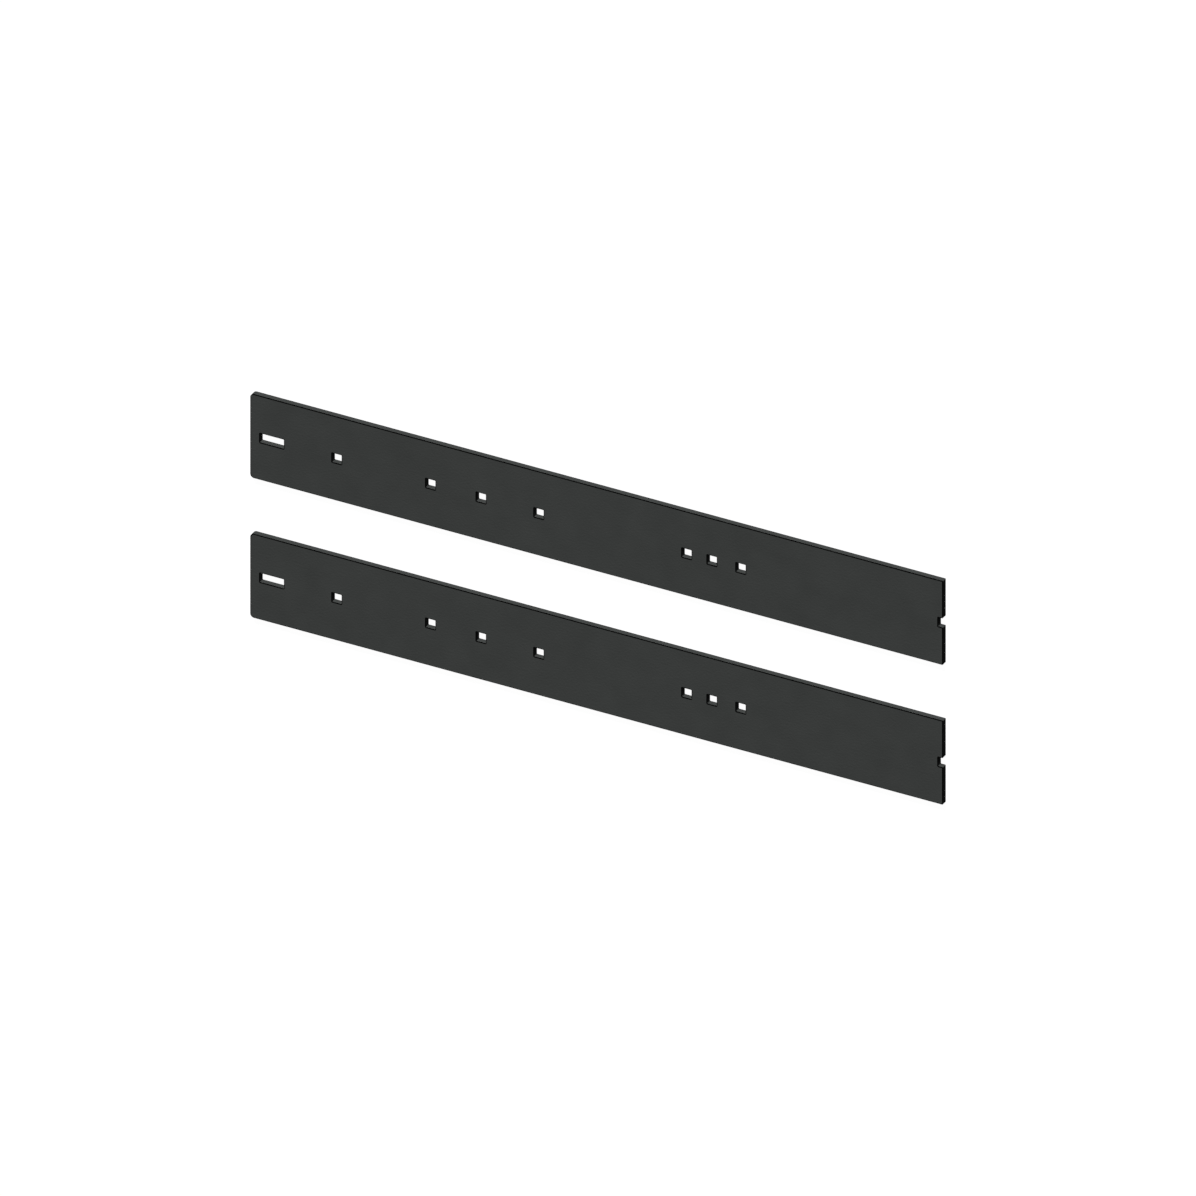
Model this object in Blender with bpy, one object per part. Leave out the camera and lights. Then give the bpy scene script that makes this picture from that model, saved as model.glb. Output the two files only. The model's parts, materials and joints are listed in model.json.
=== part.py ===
"""A pair of wear bars for the bottom edge of an ATV snow plow blade.

Both bars are the same flat steel plate. Square bolt holes run along its mid-line, with a slot
near its rounded outer end and half of a square hole in its square inner end, where the bars
meet at the middle of the blade. The bars lie flat, side by side, with their front faces up.

Units are metres. +X runs along the bars to their inner ends, +Y from bar 2 to bar 1, and +Z up.
The origin is on the ground, under the middle of the pair.
"""

import math

import bmesh
import bpy
from mathutils import Vector

INCH = 0.0254

# The plate
BAR_LENGTH = 36 * INCH
BAR_WIDTH = 4.5 * INCH
BAR_THICKNESS = 5 / 16 * INCH
OUTER_CORNER_RADIUS = 0.005
CUT_CORNER_RADIUS = 0.0008  # at the square end, and in the corners of the holes and the notch
EDGE_BREAK = 0.0004  # where the faces meet the edges and the hole walls

# The holes. A blade has its bolts at multiples of one of these spacings from its middle.
BOLT_SPACINGS = (10.5 * INCH, 12 * INCH, 13.3125 * INCH)
HOLE_SIZE = 0.5 * INCH
SLOT_LENGTH = 1.25 * INCH
SLOT_TO_OUTER_END = 0.5 * INCH

# How the pair lies
GAP_BETWEEN_BARS = 3 * INCH
BAR_CENTRES_Y = {
    "wear_bar_1": (BAR_WIDTH + GAP_BETWEEN_BARS) / 2,
    "wear_bar_2": -(BAR_WIDTH + GAP_BETWEEN_BARS) / 2,
}

# Finish: satin black powder coat
COAT_COLOUR = (0.040, 0.042, 0.041, 1.0)
COAT_ROUGHNESS = 0.5
COAT_METALLIC = 0.0

# Fineness of the mesh
OUTER_CORNER_SEGMENTS = 8
CUT_CORNER_SEGMENTS = 3
EDGE_SEGMENTS = 2
RIGHT_ANGLE = math.radians(90)
SHARP_ANGLE = math.radians(40)

INNER_END = BAR_LENGTH / 2
OUTER_END = -BAR_LENGTH / 2


def clear_scene():
    for obj in list(bpy.data.objects):
        bpy.data.objects.remove(obj)


def powder_coat(name):
    material = bpy.data.materials.new(name)
    material.use_nodes = True
    shader = material.node_tree.nodes["Principled BSDF"]
    shader.inputs["Base Color"].default_value = COAT_COLOUR
    shader.inputs["Roughness"].default_value = COAT_ROUGHNESS
    shader.inputs["Metallic"].default_value = COAT_METALLIC
    return material


def rounded(corners):
    """The points of a right-angled outline, each of whose (x, y, radius) corners is an arc."""
    points = []
    places = [Vector((x, y, 0)) for x, y, _ in corners]
    for index, (_, _, radius) in enumerate(corners):
        corner = places[index]
        back = (places[index - 1] - corner).normalized()
        ahead = (places[(index + 1) % len(places)] - corner).normalized()
        centre = corner + radius * (back + ahead)
        segments = OUTER_CORNER_SEGMENTS if radius > CUT_CORNER_RADIUS else CUT_CORNER_SEGMENTS
        for step in range(segments + 1):
            angle = RIGHT_ANGLE * step / segments
            points.append(centre - radius * (math.cos(angle) * ahead + math.sin(angle) * back))
    return points


def bar_outline():
    """The plate's edge: rounded corners at the outer end, and a notch in the inner end."""
    side = BAR_WIDTH / 2
    notch_side = HOLE_SIZE / 2
    notch_floor = INNER_END - HOLE_SIZE / 2
    return rounded(
        [
            (INNER_END, side, CUT_CORNER_RADIUS),
            (OUTER_END, side, OUTER_CORNER_RADIUS),
            (OUTER_END, -side, OUTER_CORNER_RADIUS),
            (INNER_END, -side, CUT_CORNER_RADIUS),
            (INNER_END, -notch_side, CUT_CORNER_RADIUS),
            (notch_floor, -notch_side, CUT_CORNER_RADIUS),
            (notch_floor, notch_side, CUT_CORNER_RADIUS),
            (INNER_END, notch_side, CUT_CORNER_RADIUS),
        ]
    )


def opening_outline(centre_x, length):
    """The edge of an opening as high as a bolt hole, on the bar's mid-line."""
    low_x, high_x = centre_x - length / 2, centre_x + length / 2
    side = HOLE_SIZE / 2
    return rounded(
        [
            (high_x, side, CUT_CORNER_RADIUS),
            (low_x, side, CUT_CORNER_RADIUS),
            (low_x, -side, CUT_CORNER_RADIUS),
            (high_x, -side, CUT_CORNER_RADIUS),
        ]
    )


def bolt_hole_centres():
    """The places of the bolts: each multiple of a spacing whose hole is clear of the outer end."""
    centres = []
    for spacing in BOLT_SPACINGS:
        bolts_on_bar = int((BAR_LENGTH - HOLE_SIZE) / spacing)
        centres += [INNER_END - bolt * spacing for bolt in range(1, bolts_on_bar + 1)]
    return centres


def add_loop(bm, points):
    corners = [bm.verts.new(point) for point in points]
    for start, end in zip(corners, corners[1:] + corners[:1]):
        bm.edges.new((start, end))


def is_rim(edge):
    """Whether a flat face meets an edge or a hole's wall here."""
    start, end = edge.verts
    level = math.isclose(start.co.z, end.co.z, abs_tol=EDGE_BREAK / 2)
    return level and edge.calc_face_angle() > SHARP_ANGLE


def bar_mesh(name):
    """The plate, with its lower face at z = 0 and its mid-line at y = 0."""
    bm = bmesh.new()
    add_loop(bm, bar_outline())
    for centre_x in bolt_hole_centres():
        add_loop(bm, opening_outline(centre_x, HOLE_SIZE))
    slot_centre = OUTER_END + SLOT_TO_OUTER_END + SLOT_LENGTH / 2
    add_loop(bm, opening_outline(slot_centre, SLOT_LENGTH))

    bmesh.ops.triangle_fill(bm, edges=bm.edges[:], use_beauty=True)
    raised = bmesh.ops.extrude_face_region(bm, geom=bm.faces[:])
    top_points = [item for item in raised["geom"] if isinstance(item, bmesh.types.BMVert)]
    bmesh.ops.translate(bm, verts=top_points, vec=(0, 0, BAR_THICKNESS))
    bmesh.ops.recalc_face_normals(bm, faces=bm.faces[:])
    if bm.calc_volume(signed=True) < 0:
        bmesh.ops.reverse_faces(bm, faces=bm.faces[:])
    bmesh.ops.bevel(
        bm,
        geom=[edge for edge in bm.edges if is_rim(edge)],
        offset=EDGE_BREAK,
        segments=EDGE_SEGMENTS,
        profile=0.5,
        affect="EDGES",
    )

    mesh = bpy.data.meshes.new(name)
    bm.to_mesh(mesh)
    bm.free()
    mesh.shade_smooth()
    mesh.set_sharp_from_angle(angle=SHARP_ANGLE)
    return mesh


def add_bar(name, centre_y):
    mesh = bar_mesh(name)
    mesh.materials.append(powder_coat(name + "_powder_coat"))
    bar = bpy.data.objects.new(name, mesh)
    bar.location = (0, centre_y, 0)
    bpy.context.scene.collection.objects.link(bar)


clear_scene()
for bar_name, bar_centre_y in BAR_CENTRES_Y.items():
    add_bar(bar_name, bar_centre_y)
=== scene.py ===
"""Looks for a pair of wear bars for an ATV snow plow blade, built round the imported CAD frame.

Each bar is one flat steel plate under a satin black powder coat. Its mesh is made here, finer than
its CAD solid: smooth arcs at the corners, rounded edges, and a near-black strip on each side of
every edge, which gives the bar the dark outline of a drawing.
"""

import json
import math

import bmesh
import bpy
from mathutils import Matrix, Vector


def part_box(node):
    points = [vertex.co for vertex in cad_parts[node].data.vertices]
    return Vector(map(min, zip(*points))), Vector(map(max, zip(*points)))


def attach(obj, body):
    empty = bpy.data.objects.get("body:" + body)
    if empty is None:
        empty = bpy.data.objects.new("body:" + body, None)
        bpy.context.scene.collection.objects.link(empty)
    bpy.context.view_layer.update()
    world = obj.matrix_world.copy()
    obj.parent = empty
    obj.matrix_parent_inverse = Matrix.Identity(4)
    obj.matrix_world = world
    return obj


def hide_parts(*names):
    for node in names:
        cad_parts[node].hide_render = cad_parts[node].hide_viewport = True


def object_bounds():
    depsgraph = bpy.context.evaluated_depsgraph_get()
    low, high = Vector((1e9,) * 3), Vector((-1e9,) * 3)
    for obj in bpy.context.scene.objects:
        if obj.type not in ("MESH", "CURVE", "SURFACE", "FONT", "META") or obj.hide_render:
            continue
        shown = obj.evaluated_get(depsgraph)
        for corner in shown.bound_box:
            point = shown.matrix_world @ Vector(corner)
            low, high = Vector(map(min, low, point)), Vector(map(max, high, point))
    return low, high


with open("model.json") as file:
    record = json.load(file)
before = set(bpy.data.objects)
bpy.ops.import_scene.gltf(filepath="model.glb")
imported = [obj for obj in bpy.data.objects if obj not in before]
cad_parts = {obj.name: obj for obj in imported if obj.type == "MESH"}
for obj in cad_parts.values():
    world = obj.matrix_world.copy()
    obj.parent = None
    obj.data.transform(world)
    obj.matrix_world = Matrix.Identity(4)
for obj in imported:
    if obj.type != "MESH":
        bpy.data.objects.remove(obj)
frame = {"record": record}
cad_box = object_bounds()

BARS = ("wear_bar_1", "wear_bar_2")
RIGHT_ANGLE = math.radians(90)

# Shape, in metres. Every place and every other size comes from the frame.
OUTER_CORNER_RADIUS = 0.005
CUT_CORNER_RADIUS = 0.0008  # at the inner end, and in the corners of the holes, slot and notch
RIM_RADIUS = 0.0004  # of the rounding between a face and a wall
RIM_BAND = 0.0006  # width of the dark strip on each side of that rounding
LEAST_RADIUS = 0.00005  # of an outside corner that is inset by more than its own radius
OPENING_CLEARANCE = 0.0003  # between an opening stated in the record and the real walls
OUTER_CORNER_SEGMENTS = 16
CUT_CORNER_SEGMENTS = 5
RIM_SEGMENTS = 4

# Camera: a parallel view of the front faces, tilted off their normal by these angles
VIEW_WIDTH = 1.39726
CAMERA_ALONG = math.radians(27.762)  # towards the inner ends
CAMERA_ACROSS = math.radians(31.039)  # towards the upper edges
LENS_SHIFT_Y = -0.00032
CAMERA_DISTANCE = 3.0

# Light: each sun as its irradiance in W/m2 and a place in the direction it shines from
KEY_LIGHT = (6.0, (0.0, 0.87, 0.493))
TOP_LIGHT = (1.0, (0.0, 0.40, 0.917))
LIGHT_ANGLE = math.radians(8)
AMBIENT = 0.03
WHITE = (1.0, 1.0, 1.0, 1.0)

# Floor: mostly self-lit, so that it is white and the bars leave only a faint shadow
FLOOR_SIZE = 40.0
FLOOR_COLOUR = (0.06, 0.06, 0.06, 1.0)
FLOOR_GLOW = 0.965

# The coat on each kind of surface: its darkest and lightest linear colours, its least and greatest
# roughness, its specular level, and the lumps of its grain to a metre along x, y and z
COATS = {
    "face": {
        "colours": ((0.0268, 0.0287, 0.0278, 1.0), (0.0316, 0.0338, 0.0327, 1.0)),
        "roughness": (0.48, 0.56),
        "specular": 0.5,
        "grain": (900, 900, 900),
    },
    # The walls are a little lighter than the faces. This is painted light: it makes the upper
    # walls, which face the key light, come out brighter than the faces.
    "wall": {
        "colours": ((0.0320, 0.0342, 0.0331, 1.0), (0.0380, 0.0406, 0.0393, 1.0)),
        "roughness": (0.52, 0.62),
        "specular": 0.5,
        "grain": (900, 900, 90),
    },
    "rim": {
        "colours": ((0.0008, 0.0008, 0.0008, 1.0), (0.0014, 0.0014, 0.0014, 1.0)),
        "roughness": (0.6, 0.7),
        "specular": 0.0,
        "grain": (900, 900, 900),
    },
}
SURFACES = tuple(COATS)

# Patterns in every coat, as noise of so many lumps to a metre and so much detail
CLOUDS = (28, 3)
SPECKS = (1600, 2)
SHEEN = (45, 2)
ORANGE_PEEL = (380, 1)
GRAIN = (1, 3)  # in coordinates that each coat's own grain has scaled already
CLOUD_SHARE = 0.6
SPECK_SHARE = 0.4
ORANGE_PEEL_HEIGHT = 0.00022
GRAIN_HEIGHT = 0.00010
NOISE_LOW = 0.3  # nearly all of a noise texture's values are from here
NOISE_HIGH = 0.7  # up to here


def corner_frame(corners, index):
    """A corner's place, its unit directions back and ahead along the outline, and its radius."""
    x, y, radius = corners[index]
    place = Vector((x, y))
    back = (Vector(corners[index - 1][:2]) - place).normalized()
    ahead = (Vector(corners[(index + 1) % len(corners)][:2]) - place).normalized()
    return place, back, ahead, radius


def outline(corners, inset):
    """(point, outward direction) all along a right-angled outline, moved into the steel by inset.

    The steel is on the left of the outline's direction, so a left turn is an outside corner, whose
    arc shrinks with the inset, and a right turn is an inside corner, whose arc grows.
    """
    points = []
    for index in range(len(corners)):
        place, back, ahead, radius = corner_frame(corners, index)
        side = 1 if ahead.cross(back) > 0 else -1
        bend = max(radius - side * inset, LEAST_RADIUS)
        centre = place + (bend + side * inset) * (back + ahead)
        segments = OUTER_CORNER_SEGMENTS if radius > CUT_CORNER_RADIUS else CUT_CORNER_SEGMENTS
        for step in range(segments + 1):
            turn = RIGHT_ANGLE * step / segments
            spoke = -math.cos(turn) * ahead - math.sin(turn) * back
            points.append((centre + bend * spoke, side * spoke))
    return points


def edge_profile(thickness):
    """(inset, height, tilt) of each ring round an edge, from the lower face up to the upper one."""
    upper = [(0, thickness - RIM_RADIUS - RIM_BAND, 0)]
    for step in range(RIM_SEGMENTS + 1):
        tilt = RIGHT_ANGLE * step / RIM_SEGMENTS
        inset = RIM_RADIUS * (1 - math.cos(tilt))
        upper.append((inset, thickness - RIM_RADIUS * (1 - math.sin(tilt)), tilt))
    upper.append((RIM_RADIUS + RIM_BAND, thickness, RIGHT_ANGLE))
    lower = [(inset, thickness - height, -tilt) for inset, height, tilt in reversed(upper)]
    return lower + upper


def openings_of(bar):
    """The (low, high) corners of each hole, slot and notch of a bar, at its real walls."""
    low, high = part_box(bar)
    clearance = Vector((OPENING_CLEARANCE, OPENING_CLEARANCE, 0))
    found = []
    for opening in frame["record"]["physics"]["openings"]:
        box_low, box_high = (Vector(corner) for corner in opening["box_m"])
        if low.y < (box_low.y + box_high.y) / 2 < high.y:
            found.append((box_low - clearance, box_high + clearance))
    return found


def rectangle(low, high):
    """Clockwise corners of an opening's outline, so that the steel is on its left."""
    corners = [(low.x, low.y), (low.x, high.y), (high.x, high.y), (high.x, low.y)]
    return [(x, y, CUT_CORNER_RADIUS) for x, y in corners]


def bar_outlines(bar):
    """The outline of a bar's edge, with its end notch, and those of its holes and slot."""
    low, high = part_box(bar)
    openings = openings_of(bar)
    notch_low, notch_high = next(box for box in openings if box[1].x > high.x)
    edge = [
        (high.x, high.y, CUT_CORNER_RADIUS),
        (low.x, high.y, OUTER_CORNER_RADIUS),
        (low.x, low.y, OUTER_CORNER_RADIUS),
        (high.x, low.y, CUT_CORNER_RADIUS),
        (high.x, notch_low.y, CUT_CORNER_RADIUS),
        (notch_low.x, notch_low.y, CUT_CORNER_RADIUS),
        (notch_low.x, notch_high.y, CUT_CORNER_RADIUS),
        (high.x, notch_high.y, CUT_CORNER_RADIUS),
    ]
    return [edge] + [rectangle(*box) for box in openings if box[1].x <= high.x]


def add_wall(bm, normals, corners, profile):
    """Rings of points round one outline, joined by faces. Returns the first and last ring."""
    rings = []
    for inset, height, tilt in profile:
        ring = []
        for point, outward in outline(corners, inset):
            ring.append(bm.verts.new((point.x, point.y, height)))
            level = math.cos(tilt) * outward
            normals.append(Vector((level.x, level.y, math.sin(tilt))))
        rings.append(ring)
    middle = len(rings) // 2 - 1
    for number, (lower, upper) in enumerate(zip(rings, rings[1:])):
        surface = SURFACES.index("wall" if number == middle else "rim")
        for start in range(len(lower)):
            end = (start + 1) % len(lower)
            face = bm.faces.new((lower[start], lower[end], upper[end], upper[start]))
            face.material_index = surface
    return rings[0], rings[-1]


def fill(bm, rings):
    """A flat face inside the first ring and outside the others."""
    pairs = [pair for ring in rings for pair in zip(ring, ring[1:] + ring[:1])]
    edges = [bm.edges.get(pair) for pair in pairs]
    filled = bmesh.ops.triangle_fill(bm, edges=edges, use_beauty=True)
    for item in filled["geom"]:
        if isinstance(item, bmesh.types.BMFace):
            item.material_index = SURFACES.index("face")


def bar_mesh(bar):
    """The whole plate. Its normals are exact, so the arcs shade smoothly and the faces flat."""
    low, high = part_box(bar)
    bm = bmesh.new()
    normals = []
    profile = edge_profile(high.z - low.z)
    ends = [add_wall(bm, normals, corners, profile) for corners in bar_outlines(bar)]
    fill(bm, [first for first, _ in ends])
    fill(bm, [last for _, last in ends])
    bmesh.ops.recalc_face_normals(bm, faces=bm.faces[:])
    if bm.calc_volume(signed=True) < 0:
        bmesh.ops.reverse_faces(bm, faces=bm.faces[:])
    mesh = bpy.data.meshes.new(bar + "_coated")
    bm.to_mesh(mesh)
    bm.free()
    mesh.shade_smooth()
    mesh.normals_split_custom_set_from_vertices(normals)
    return mesh


def add_node(material, kind, **settings):
    """A new node. Each setting is the value of an input or, if there is none, a property."""
    node = material.node_tree.nodes.new(kind)
    for name, value in settings.items():
        if name in node.inputs:
            node.inputs[name].default_value = value
        else:
            setattr(node, name, value)
    return node


def join(material, source, target):
    material.node_tree.links.new(source, target)


def noise(material, place, lumps, detail):
    """Smooth noise in 0 to 1."""
    node = add_node(material, "ShaderNodeTexNoise", Scale=lumps, Detail=detail)
    join(material, place, node.inputs["Vector"])
    return node.outputs["Fac"]


def spread(material, value, low, high):
    """Noise brought from its usual range to low..high."""
    node = add_node(material, "ShaderNodeMapRange")
    node.inputs["From Min"].default_value = NOISE_LOW
    node.inputs["From Max"].default_value = NOISE_HIGH
    node.inputs["To Min"].default_value = low
    node.inputs["To Max"].default_value = high
    join(material, value, node.inputs["Value"])
    return node.outputs["Result"]


def add_up(material, first, second):
    node = add_node(material, "ShaderNodeMath", operation="ADD")
    join(material, first, node.inputs[0])
    join(material, second, node.inputs[1])
    return node.outputs[0]


def blend_colours(material, factor, dark, light):
    """A linear blend. Mix nodes repeat their sockets' names, so the colour ones go by number."""
    node = add_node(material, "ShaderNodeMix", data_type="RGBA")
    factor_input, dark_input, light_input = (node.inputs[number] for number in (0, 6, 7))
    dark_input.default_value = dark
    light_input.default_value = light
    join(material, factor, factor_input)
    return node.outputs[2]


def stretched(material, place, factors):
    """A place scaled along x, y and z."""
    node = add_node(material, "ShaderNodeMapping", Scale=factors)
    join(material, place, node.inputs["Vector"])
    return node.outputs["Vector"]


def raised(material, height, distance):
    """A bump node whose relief is as deep as distance."""
    node = add_node(material, "ShaderNodeBump", Distance=distance)
    join(material, height, node.inputs["Height"])
    return node


def coat_colour(material, place, colours):
    """Faint clouds with fine specks over them."""
    clouds = spread(material, noise(material, place, *CLOUDS), 0, CLOUD_SHARE)
    specks = spread(material, noise(material, place, *SPECKS), 0, SPECK_SHARE)
    return blend_colours(material, add_up(material, clouds, specks), *colours)


def coat_normal(material, place, grain):
    """Orange peel with a fine grain over it."""
    peel = raised(material, noise(material, place, *ORANGE_PEEL), ORANGE_PEEL_HEIGHT)
    lumps = noise(material, stretched(material, place, grain), *GRAIN)
    grained = raised(material, lumps, GRAIN_HEIGHT)
    join(material, peel.outputs["Normal"], grained.inputs["Normal"])
    return grained.outputs["Normal"]


def powder_coat(surface, colours, roughness, specular, grain):
    """An even dark film with orange peel, a fine grain, faint cloudiness and uneven gloss."""
    material = bpy.data.materials.new(surface + "_coat")
    material.use_nodes = True
    shader = material.node_tree.nodes["Principled BSDF"]
    shader.inputs["Specular IOR Level"].default_value = specular
    place = add_node(material, "ShaderNodeTexCoord").outputs["Object"]
    sheen = spread(material, noise(material, place, *SHEEN), *roughness)
    join(material, coat_colour(material, place, colours), shader.inputs["Base Color"])
    join(material, sheen, shader.inputs["Roughness"])
    join(material, coat_normal(material, place, grain), shader.inputs["Normal"])
    return material


def add_bar(bar, coats):
    mesh = bar_mesh(bar)
    for coat in coats:
        mesh.materials.append(coat)
    piece = bpy.data.objects.new(bar + "_plate", mesh)
    bpy.context.scene.collection.objects.link(piece)
    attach(piece, bar)
    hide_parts(bar)


def floor_material():
    material = bpy.data.materials.new("pale_floor")
    material.use_nodes = True
    shader = material.node_tree.nodes["Principled BSDF"]
    shader.inputs["Base Color"].default_value = FLOOR_COLOUR
    shader.inputs["Roughness"].default_value = 1.0
    shader.inputs["Specular IOR Level"].default_value = 0.0
    shader.inputs["Emission Color"].default_value = WHITE
    shader.inputs["Emission Strength"].default_value = FLOOR_GLOW
    return material


def add_floor():
    """A plain floor at z = 0 that casts none of its own glow on the bars."""
    bm = bmesh.new()
    bmesh.ops.create_grid(bm, x_segments=1, y_segments=1, size=FLOOR_SIZE / 2)
    mesh = bpy.data.meshes.new("floor")
    bm.to_mesh(mesh)
    bm.free()
    mesh.materials.append(floor_material())
    floor = bpy.data.objects.new("floor", mesh)
    floor.visible_glossy = False
    floor.visible_diffuse = False
    bpy.context.scene.collection.objects.link(floor)


def add_sun(name, strength, place, highlights):
    light = bpy.data.lights.new(name, "SUN")
    light.energy = strength
    light.angle = LIGHT_ANGLE
    lamp = bpy.data.objects.new(name, light)
    lamp.visible_glossy = highlights
    lamp.location = place
    lamp.rotation_mode = "QUATERNION"
    lamp.rotation_quaternion = Vector(place).to_track_quat("Z", "Y")
    bpy.context.scene.collection.objects.link(lamp)


def add_world():
    """A dim studio all round, and a plain white background behind the floor's far edge."""
    world = bpy.data.worlds.new("studio")
    bpy.context.scene.world = world
    world.use_nodes = True
    nodes, links = world.node_tree.nodes, world.node_tree.links
    room = nodes["Background"]
    room.inputs["Color"].default_value = WHITE
    room.inputs["Strength"].default_value = AMBIENT
    backdrop = nodes.new("ShaderNodeBackground")
    backdrop.inputs["Color"].default_value = WHITE
    rays = nodes.new("ShaderNodeLightPath")
    chosen = nodes.new("ShaderNodeMixShader")
    links.new(rays.outputs["Is Camera Ray"], chosen.inputs[0])
    links.new(room.outputs[0], chosen.inputs[1])
    links.new(backdrop.outputs[0], chosen.inputs[2])
    links.new(chosen.outputs[0], nodes["World Output"].inputs[0])


def add_camera():
    """The bars seen from in front and above, as if they stood up with their upper edges on top."""
    low, high = cad_box
    around = Matrix.Rotation(CAMERA_ALONG, 3, "Z")
    upward = Matrix.Rotation(RIGHT_ANGLE - CAMERA_ACROSS, 3, "X")
    laid_down = Matrix.Rotation(-RIGHT_ANGLE, 3, "X")
    turned = (laid_down @ around @ upward).to_4x4()
    away = turned @ Vector((0, 0, CAMERA_DISTANCE))
    data = bpy.data.cameras.new("camera")
    data.type = "ORTHO"
    data.ortho_scale = VIEW_WIDTH
    data.shift_y = LENS_SHIFT_Y
    camera = bpy.data.objects.new("camera", data)
    camera.matrix_world = Matrix.Translation((low + high) / 2 + away) @ turned
    bpy.context.scene.collection.objects.link(camera)
    bpy.context.scene.camera = camera


bpy.context.scene.view_settings.view_transform = "Standard"
coats_in_order = [powder_coat(surface, **look) for surface, look in COATS.items()]
for bar_name in BARS:
    add_bar(bar_name, coats_in_order)
add_camera()
add_floor()
add_sun("key_light", *KEY_LIGHT, highlights=False)
add_sun("top_light", *TOP_LIGHT, highlights=True)
add_world()
